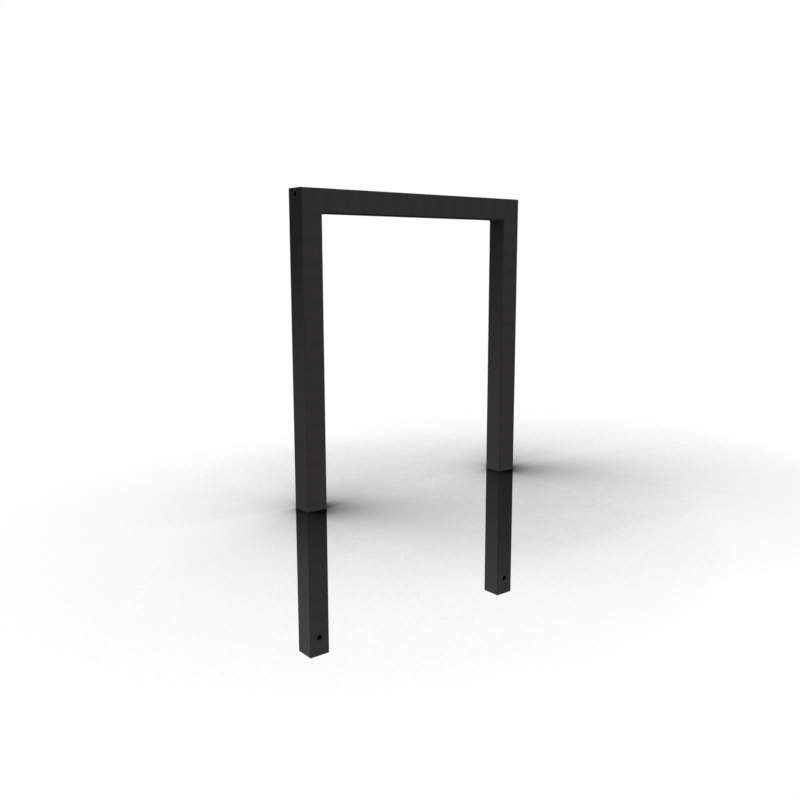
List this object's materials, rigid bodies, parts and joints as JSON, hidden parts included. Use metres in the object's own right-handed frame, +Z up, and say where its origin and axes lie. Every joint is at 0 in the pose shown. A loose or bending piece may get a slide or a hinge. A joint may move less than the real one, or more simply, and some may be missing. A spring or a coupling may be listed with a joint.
{
  "type": "hoop bike rack",
  "caption": "Square-cornered hoop bike rack of square steel tube: posts and a top rail, mitred and welded, with roots to set in concrete and cross holes for anchor bars.",
  "frame": {"origin": "finished ground level, midway between the two posts, on the centre plane of the tube", "axes": "+Z up; +X along the top rail, with the left post at -X and the right post at +X; +Y across the rack, away from the side that the picture was taken from"},
  "size_m": [0.75, 0.06, 1.215],
  "materials": {
    "coated_tube": "fine satin powder coat in a warm near-black, over galvanised steel tube",
    "coated_weld": "the same powder coat, over weld metal dressed flush on the outside faces"
  },
  "bodies": {
    "root": {"left_post": "coated_tube", "right_post": "coated_tube", "top_rail": "coated_tube", "left_corner_weld": "coated_weld", "right_corner_weld": "coated_weld"}
  },
  "joints": []
}
